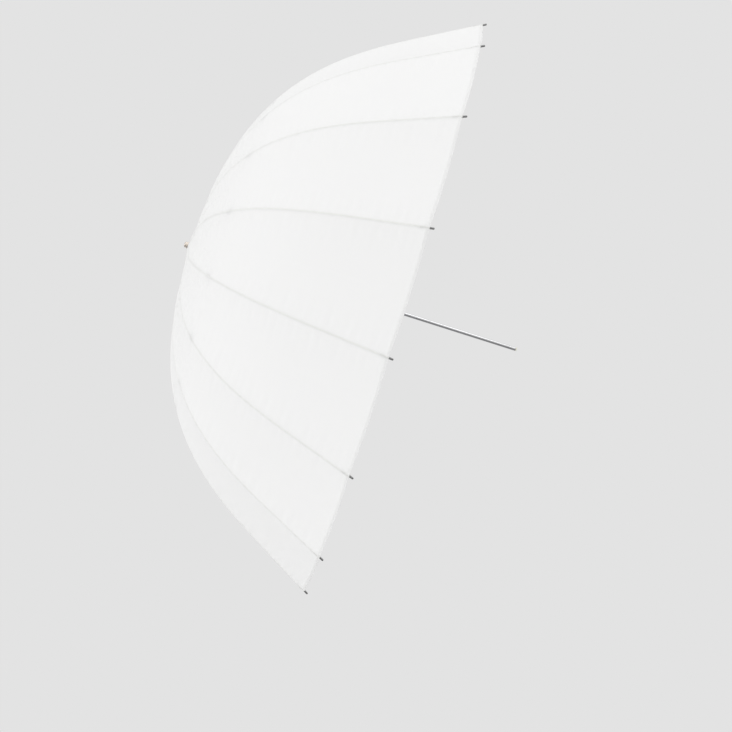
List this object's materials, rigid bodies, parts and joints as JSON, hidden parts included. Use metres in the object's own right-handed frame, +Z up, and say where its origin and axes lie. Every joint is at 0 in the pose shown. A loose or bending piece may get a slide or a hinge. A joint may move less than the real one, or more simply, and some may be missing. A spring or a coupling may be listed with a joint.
{
  "type": "umbrella reflector",
  "caption": "Deep white shoot-through photographic umbrella with many ribs, open on a slim metal shaft that a lighting bracket grips.",
  "frame": {"origin": "the point on the shaft's axis where a lighting bracket grips it, 234 mm past the plane of the rib tips", "axes": "+X along the shaft from the crown to its free end, +Z up, +Y to the right seen from the free end"},
  "size_m": [0.7584, 1.2696, 1.2696],
  "materials": {
    "canopy_fabric": "matte translucent",
    "polished_metal": "polished",
    "spring_steel": "satin",
    "rib_fibre": "satin",
    "white_nylon": "satin"
  },
  "bodies": {
    "root": {"shaft": "polished_metal", "shaft_end_plug": "white_nylon", "crown": "white_nylon", "crown_ring": "spring_steel", "crown_pad": "white_nylon", "canopy": "canopy_fabric", "ferrule_washer": "polished_metal", "ferrule": "polished_metal", "catch_pin": "spring_steel"},
    "runner": {"runner": "white_nylon", "runner_ring": "spring_steel"},
    "catch": {"catch_spring": "spring_steel"},
    "rib_inner_01": {"rib_inner_01": "rib_fibre"},
    "rib_outer_01": {"rib_outer_01": "rib_fibre"},
    "stretcher_01": {"stretcher_01": "spring_steel"},
    "rib_inner_02": {"rib_inner_02": "rib_fibre"},
    "rib_outer_02": {"rib_outer_02": "rib_fibre"},
    "stretcher_02": {"stretcher_02": "spring_steel"},
    "rib_inner_03": {"rib_inner_03": "rib_fibre"},
    "rib_outer_03": {"rib_outer_03": "rib_fibre"},
    "stretcher_03": {"stretcher_03": "spring_steel"},
    "rib_inner_04": {"rib_inner_04": "rib_fibre"},
    "rib_outer_04": {"rib_outer_04": "rib_fibre"},
    "stretcher_04": {"stretcher_04": "spring_steel"},
    "rib_inner_05": {"rib_inner_05": "rib_fibre"},
    "rib_outer_05": {"rib_outer_05": "rib_fibre"},
    "stretcher_05": {"stretcher_05": "spring_steel"},
    "rib_inner_06": {"rib_inner_06": "rib_fibre"},
    "rib_outer_06": {"rib_outer_06": "rib_fibre"},
    "stretcher_06": {"stretcher_06": "spring_steel"},
    "rib_inner_07": {"rib_inner_07": "rib_fibre"},
    "rib_outer_07": {"rib_outer_07": "rib_fibre"},
    "stretcher_07": {"stretcher_07": "spring_steel"},
    "rib_inner_08": {"rib_inner_08": "rib_fibre"},
    "rib_outer_08": {"rib_outer_08": "rib_fibre"},
    "stretcher_08": {"stretcher_08": "spring_steel"},
    "rib_inner_09": {"rib_inner_09": "rib_fibre"},
    "rib_outer_09": {"rib_outer_09": "rib_fibre"},
    "stretcher_09": {"stretcher_09": "spring_steel"},
    "rib_inner_10": {"rib_inner_10": "rib_fibre"},
    "rib_outer_10": {"rib_outer_10": "rib_fibre"},
    "stretcher_10": {"stretcher_10": "spring_steel"},
    "rib_inner_11": {"rib_inner_11": "rib_fibre"},
    "rib_outer_11": {"rib_outer_11": "rib_fibre"},
    "stretcher_11": {"stretcher_11": "spring_steel"},
    "rib_inner_12": {"rib_inner_12": "rib_fibre"},
    "rib_outer_12": {"rib_outer_12": "rib_fibre"},
    "stretcher_12": {"stretcher_12": "spring_steel"},
    "rib_inner_13": {"rib_inner_13": "rib_fibre"},
    "rib_outer_13": {"rib_outer_13": "rib_fibre"},
    "stretcher_13": {"stretcher_13": "spring_steel"},
    "rib_inner_14": {"rib_inner_14": "rib_fibre"},
    "rib_outer_14": {"rib_outer_14": "rib_fibre"},
    "stretcher_14": {"stretcher_14": "spring_steel"},
    "rib_inner_15": {"rib_inner_15": "rib_fibre"},
    "rib_outer_15": {"rib_outer_15": "rib_fibre"},
    "stretcher_15": {"stretcher_15": "spring_steel"},
    "rib_inner_16": {"rib_inner_16": "rib_fibre"},
    "rib_outer_16": {"rib_outer_16": "rib_fibre"},
    "stretcher_16": {"stretcher_16": "spring_steel"}
  },
  "joints": [
    {"name": "runner_slide", "type": "slide", "parent": "root", "child": "runner", "axis": [1, 0, 0], "range_m": [0, 0.49789], "deforming": ["canopy"]},
    {"name": "catch_press", "type": "hinge", "parent": "root", "child": "catch", "pos_m": [-0.4405, 0, 0.001], "axis": [0, -1, 0], "range_deg": [0, 7], "stiffness_Nm_per_rad": 0.05},
    {"name": "rib_fold_01", "type": "hinge", "parent": "root", "child": "rib_inner_01", "pos_m": [-0.694, -0.00235, 0.0138], "axis": [0, 0.9859, 0.1676], "range_deg": [0, 74.85]},
    {"name": "rib_flex_01", "type": "hinge", "parent": "rib_inner_01", "child": "rib_outer_01", "pos_m": [-0.61571, -0.05849, 0.34402], "axis": [0, 0.9859, 0.1676], "range_deg": [-37.22, 0]},
    {"name": "stretcher_fold_01", "type": "hinge", "parent": "rib_inner_01", "child": "stretcher_01", "pos_m": [-0.61056, -0.05798, 0.34098], "axis": [0, 0.9859, 0.1676], "range_deg": [-145.41, 0]},
    {"name": "rib_fold_02", "type": "hinge", "parent": "root", "child": "rib_inner_02", "pos_m": [-0.694, -0.00745, 0.01185], "axis": [0, 0.8467, 0.5321], "range_deg": [0, 74.85]},
    {"name": "rib_flex_02", "type": "hinge", "parent": "rib_inner_02", "child": "rib_outer_02", "pos_m": [-0.61571, -0.18569, 0.29544], "axis": [0, 0.8467, 0.5321], "range_deg": [-37.22, 0]},
    {"name": "stretcher_fold_02", "type": "hinge", "parent": "rib_inner_02", "child": "stretcher_02", "pos_m": [-0.61056, -0.18405, 0.29284], "axis": [0, 0.8467, 0.5321], "range_deg": [-145.41, 0]},
    {"name": "rib_fold_03", "type": "hinge", "parent": "root", "child": "rib_inner_03", "pos_m": [-0.694, -0.01142, 0.0081], "axis": [0, 0.5786, 0.8156], "range_deg": [0, 74.85]},
    {"name": "rib_flex_03", "type": "hinge", "parent": "rib_inner_03", "child": "rib_outer_03", "pos_m": [-0.61571, -0.28462, 0.20189], "axis": [0, 0.5786, 0.8156], "range_deg": [-37.22, 0]},
    {"name": "stretcher_fold_03", "type": "hinge", "parent": "rib_inner_03", "child": "stretcher_03", "pos_m": [-0.61056, -0.2821, 0.20011], "axis": [0, 0.5786, 0.8156], "range_deg": [-145.41, 0]},
    {"name": "rib_fold_04", "type": "hinge", "parent": "root", "child": "rib_inner_04", "pos_m": [-0.694, -0.01365, 0.00311], "axis": [0, 0.2224, 0.975], "range_deg": [0, 74.85]},
    {"name": "rib_flex_04", "type": "hinge", "parent": "rib_inner_04", "child": "rib_outer_04", "pos_m": [-0.61571, -0.34021, 0.07761], "axis": [0, 0.2224, 0.975], "range_deg": [-37.22, 0]},
    {"name": "stretcher_fold_04", "type": "hinge", "parent": "rib_inner_04", "child": "stretcher_04", "pos_m": [-0.61056, -0.33721, 0.07692], "axis": [0, 0.2224, 0.975], "range_deg": [-145.41, 0]},
    {"name": "rib_fold_05", "type": "hinge", "parent": "root", "child": "rib_inner_05", "pos_m": [-0.694, -0.0138, -0.00235], "axis": [0, -0.1676, 0.9859], "range_deg": [0, 74.85]},
    {"name": "rib_flex_05", "type": "hinge", "parent": "rib_inner_05", "child": "rib_outer_05", "pos_m": [-0.61571, -0.34402, -0.05849], "axis": [0, -0.1676, 0.9859], "range_deg": [-37.22, 0]},
    {"name": "stretcher_fold_05", "type": "hinge", "parent": "rib_inner_05", "child": "stretcher_05", "pos_m": [-0.61056, -0.34098, -0.05798], "axis": [0, -0.1676, 0.9859], "range_deg": [-145.41, 0]},
    {"name": "rib_fold_06", "type": "hinge", "parent": "root", "child": "rib_inner_06", "pos_m": [-0.694, -0.01185, -0.00745], "axis": [0, -0.5321, 0.8467], "range_deg": [0, 74.85]},
    {"name": "rib_flex_06", "type": "hinge", "parent": "rib_inner_06", "child": "rib_outer_06", "pos_m": [-0.61571, -0.29544, -0.18569], "axis": [0, -0.5321, 0.8467], "range_deg": [-37.22, 0]},
    {"name": "stretcher_fold_06", "type": "hinge", "parent": "rib_inner_06", "child": "stretcher_06", "pos_m": [-0.61056, -0.29284, -0.18405], "axis": [0, -0.5321, 0.8467], "range_deg": [-145.41, 0]},
    {"name": "rib_fold_07", "type": "hinge", "parent": "root", "child": "rib_inner_07", "pos_m": [-0.694, -0.0081, -0.01142], "axis": [0, -0.8156, 0.5786], "range_deg": [0, 74.85]},
    {"name": "rib_flex_07", "type": "hinge", "parent": "rib_inner_07", "child": "rib_outer_07", "pos_m": [-0.61571, -0.20189, -0.28462], "axis": [0, -0.8156, 0.5786], "range_deg": [-37.22, 0]},
    {"name": "stretcher_fold_07", "type": "hinge", "parent": "rib_inner_07", "child": "stretcher_07", "pos_m": [-0.61056, -0.20011, -0.2821], "axis": [0, -0.8156, 0.5786], "range_deg": [-145.41, 0]},
    {"name": "rib_fold_08", "type": "hinge", "parent": "root", "child": "rib_inner_08", "pos_m": [-0.694, -0.00311, -0.01365], "axis": [0, -0.975, 0.2224], "range_deg": [0, 74.85]},
    {"name": "rib_flex_08", "type": "hinge", "parent": "rib_inner_08", "child": "rib_outer_08", "pos_m": [-0.61571, -0.07761, -0.34021], "axis": [0, -0.975, 0.2224], "range_deg": [-37.22, 0]},
    {"name": "stretcher_fold_08", "type": "hinge", "parent": "rib_inner_08", "child": "stretcher_08", "pos_m": [-0.61056, -0.07692, -0.33721], "axis": [0, -0.975, 0.2224], "range_deg": [-145.41, 0]},
    {"name": "rib_fold_09", "type": "hinge", "parent": "root", "child": "rib_inner_09", "pos_m": [-0.694, 0.00235, -0.0138], "axis": [0, -0.9859, -0.1676], "range_deg": [0, 74.85]},
    {"name": "rib_flex_09", "type": "hinge", "parent": "rib_inner_09", "child": "rib_outer_09", "pos_m": [-0.61571, 0.05849, -0.34402], "axis": [0, -0.9859, -0.1676], "range_deg": [-37.22, 0]},
    {"name": "stretcher_fold_09", "type": "hinge", "parent": "rib_inner_09", "child": "stretcher_09", "pos_m": [-0.61056, 0.05798, -0.34098], "axis": [0, -0.9859, -0.1676], "range_deg": [-145.41, 0]},
    {"name": "rib_fold_10", "type": "hinge", "parent": "root", "child": "rib_inner_10", "pos_m": [-0.694, 0.00745, -0.01185], "axis": [0, -0.8467, -0.5321], "range_deg": [0, 74.85]},
    {"name": "rib_flex_10", "type": "hinge", "parent": "rib_inner_10", "child": "rib_outer_10", "pos_m": [-0.61571, 0.18569, -0.29544], "axis": [0, -0.8467, -0.5321], "range_deg": [-37.22, 0]},
    {"name": "stretcher_fold_10", "type": "hinge", "parent": "rib_inner_10", "child": "stretcher_10", "pos_m": [-0.61056, 0.18405, -0.29284], "axis": [0, -0.8467, -0.5321], "range_deg": [-145.41, 0]},
    {"name": "rib_fold_11", "type": "hinge", "parent": "root", "child": "rib_inner_11", "pos_m": [-0.694, 0.01142, -0.0081], "axis": [0, -0.5786, -0.8156], "range_deg": [0, 74.85]},
    {"name": "rib_flex_11", "type": "hinge", "parent": "rib_inner_11", "child": "rib_outer_11", "pos_m": [-0.61571, 0.28462, -0.20189], "axis": [0, -0.5786, -0.8156], "range_deg": [-37.22, 0]},
    {"name": "stretcher_fold_11", "type": "hinge", "parent": "rib_inner_11", "child": "stretcher_11", "pos_m": [-0.61056, 0.2821, -0.20011], "axis": [0, -0.5786, -0.8156], "range_deg": [-145.41, 0]},
    {"name": "rib_fold_12", "type": "hinge", "parent": "root", "child": "rib_inner_12", "pos_m": [-0.694, 0.01365, -0.00311], "axis": [0, -0.2224, -0.975], "range_deg": [0, 74.85]},
    {"name": "rib_flex_12", "type": "hinge", "parent": "rib_inner_12", "child": "rib_outer_12", "pos_m": [-0.61571, 0.34021, -0.07761], "axis": [0, -0.2224, -0.975], "range_deg": [-37.22, 0]},
    {"name": "stretcher_fold_12", "type": "hinge", "parent": "rib_inner_12", "child": "stretcher_12", "pos_m": [-0.61056, 0.33721, -0.07692], "axis": [0, -0.2224, -0.975], "range_deg": [-145.41, 0]},
    {"name": "rib_fold_13", "type": "hinge", "parent": "root", "child": "rib_inner_13", "pos_m": [-0.694, 0.0138, 0.00235], "axis": [0, 0.1676, -0.9859], "range_deg": [0, 74.85]},
    {"name": "rib_flex_13", "type": "hinge", "parent": "rib_inner_13", "child": "rib_outer_13", "pos_m": [-0.61571, 0.34402, 0.05849], "axis": [0, 0.1676, -0.9859], "range_deg": [-37.22, 0]},
    {"name": "stretcher_fold_13", "type": "hinge", "parent": "rib_inner_13", "child": "stretcher_13", "pos_m": [-0.61056, 0.34098, 0.05798], "axis": [0, 0.1676, -0.9859], "range_deg": [-145.41, 0]},
    {"name": "rib_fold_14", "type": "hinge", "parent": "root", "child": "rib_inner_14", "pos_m": [-0.694, 0.01185, 0.00745], "axis": [0, 0.5321, -0.8467], "range_deg": [0, 74.85]},
    {"name": "rib_flex_14", "type": "hinge", "parent": "rib_inner_14", "child": "rib_outer_14", "pos_m": [-0.61571, 0.29544, 0.18569], "axis": [0, 0.5321, -0.8467], "range_deg": [-37.22, 0]},
    {"name": "stretcher_fold_14", "type": "hinge", "parent": "rib_inner_14", "child": "stretcher_14", "pos_m": [-0.61056, 0.29284, 0.18405], "axis": [0, 0.5321, -0.8467], "range_deg": [-145.41, 0]},
    {"name": "rib_fold_15", "type": "hinge", "parent": "root", "child": "rib_inner_15", "pos_m": [-0.694, 0.0081, 0.01142], "axis": [0, 0.8156, -0.5786], "range_deg": [0, 74.85]},
    {"name": "rib_flex_15", "type": "hinge", "parent": "rib_inner_15", "child": "rib_outer_15", "pos_m": [-0.61571, 0.20189, 0.28462], "axis": [0, 0.8156, -0.5786], "range_deg": [-37.22, 0]},
    {"name": "stretcher_fold_15", "type": "hinge", "parent": "rib_inner_15", "child": "stretcher_15", "pos_m": [-0.61056, 0.20011, 0.2821], "axis": [0, 0.8156, -0.5786], "range_deg": [-145.41, 0]},
    {"name": "rib_fold_16", "type": "hinge", "parent": "root", "child": "rib_inner_16", "pos_m": [-0.694, 0.00311, 0.01365], "axis": [0, 0.975, -0.2224], "range_deg": [0, 74.85]},
    {"name": "rib_flex_16", "type": "hinge", "parent": "rib_inner_16", "child": "rib_outer_16", "pos_m": [-0.61571, 0.07761, 0.34021], "axis": [0, 0.975, -0.2224], "range_deg": [-37.22, 0]},
    {"name": "stretcher_fold_16", "type": "hinge", "parent": "rib_inner_16", "child": "stretcher_16", "pos_m": [-0.61056, 0.07692, 0.33721], "axis": [0, 0.975, -0.2224], "range_deg": [-145.41, 0]}
  ],
  "couplings": [
    {"joint": "rib_fold_01", "follows": "runner_slide", "rad_per_m": 2.6236},
    {"joint": "rib_flex_01", "follows": "runner_slide", "rad_per_m": -1.3046},
    {"joint": "stretcher_fold_01", "follows": "runner_slide", "rad_per_m": -5.0969},
    {"joint": "rib_fold_02", "follows": "runner_slide", "rad_per_m": 2.6236},
    {"joint": "rib_flex_02", "follows": "runner_slide", "rad_per_m": -1.3046},
    {"joint": "stretcher_fold_02", "follows": "runner_slide", "rad_per_m": -5.0969},
    {"joint": "rib_fold_03", "follows": "runner_slide", "rad_per_m": 2.6236},
    {"joint": "rib_flex_03", "follows": "runner_slide", "rad_per_m": -1.3046},
    {"joint": "stretcher_fold_03", "follows": "runner_slide", "rad_per_m": -5.0969},
    {"joint": "rib_fold_04", "follows": "runner_slide", "rad_per_m": 2.6236},
    {"joint": "rib_flex_04", "follows": "runner_slide", "rad_per_m": -1.3046},
    {"joint": "stretcher_fold_04", "follows": "runner_slide", "rad_per_m": -5.0969},
    {"joint": "rib_fold_05", "follows": "runner_slide", "rad_per_m": 2.6236},
    {"joint": "rib_flex_05", "follows": "runner_slide", "rad_per_m": -1.3046},
    {"joint": "stretcher_fold_05", "follows": "runner_slide", "rad_per_m": -5.0969},
    {"joint": "rib_fold_06", "follows": "runner_slide", "rad_per_m": 2.6236},
    {"joint": "rib_flex_06", "follows": "runner_slide", "rad_per_m": -1.3046},
    {"joint": "stretcher_fold_06", "follows": "runner_slide", "rad_per_m": -5.0969},
    {"joint": "rib_fold_07", "follows": "runner_slide", "rad_per_m": 2.6236},
    {"joint": "rib_flex_07", "follows": "runner_slide", "rad_per_m": -1.3046},
    {"joint": "stretcher_fold_07", "follows": "runner_slide", "rad_per_m": -5.0969},
    {"joint": "rib_fold_08", "follows": "runner_slide", "rad_per_m": 2.6236},
    {"joint": "rib_flex_08", "follows": "runner_slide", "rad_per_m": -1.3046},
    {"joint": "stretcher_fold_08", "follows": "runner_slide", "rad_per_m": -5.0969},
    {"joint": "rib_fold_09", "follows": "runner_slide", "rad_per_m": 2.6236},
    {"joint": "rib_flex_09", "follows": "runner_slide", "rad_per_m": -1.3046},
    {"joint": "stretcher_fold_09", "follows": "runner_slide", "rad_per_m": -5.0969},
    {"joint": "rib_fold_10", "follows": "runner_slide", "rad_per_m": 2.6236},
    {"joint": "rib_flex_10", "follows": "runner_slide", "rad_per_m": -1.3046},
    {"joint": "stretcher_fold_10", "follows": "runner_slide", "rad_per_m": -5.0969},
    {"joint": "rib_fold_11", "follows": "runner_slide", "rad_per_m": 2.6236},
    {"joint": "rib_flex_11", "follows": "runner_slide", "rad_per_m": -1.3046},
    {"joint": "stretcher_fold_11", "follows": "runner_slide", "rad_per_m": -5.0969},
    {"joint": "rib_fold_12", "follows": "runner_slide", "rad_per_m": 2.6236},
    {"joint": "rib_flex_12", "follows": "runner_slide", "rad_per_m": -1.3046},
    {"joint": "stretcher_fold_12", "follows": "runner_slide", "rad_per_m": -5.0969},
    {"joint": "rib_fold_13", "follows": "runner_slide", "rad_per_m": 2.6236},
    {"joint": "rib_flex_13", "follows": "runner_slide", "rad_per_m": -1.3046},
    {"joint": "stretcher_fold_13", "follows": "runner_slide", "rad_per_m": -5.0969},
    {"joint": "rib_fold_14", "follows": "runner_slide", "rad_per_m": 2.6236},
    {"joint": "rib_flex_14", "follows": "runner_slide", "rad_per_m": -1.3046},
    {"joint": "stretcher_fold_14", "follows": "runner_slide", "rad_per_m": -5.0969},
    {"joint": "rib_fold_15", "follows": "runner_slide", "rad_per_m": 2.6236},
    {"joint": "rib_flex_15", "follows": "runner_slide", "rad_per_m": -1.3046},
    {"joint": "stretcher_fold_15", "follows": "runner_slide", "rad_per_m": -5.0969},
    {"joint": "rib_fold_16", "follows": "runner_slide", "rad_per_m": 2.6236},
    {"joint": "rib_flex_16", "follows": "runner_slide", "rad_per_m": -1.3046},
    {"joint": "stretcher_fold_16", "follows": "runner_slide", "rad_per_m": -5.0969}
  ]
}
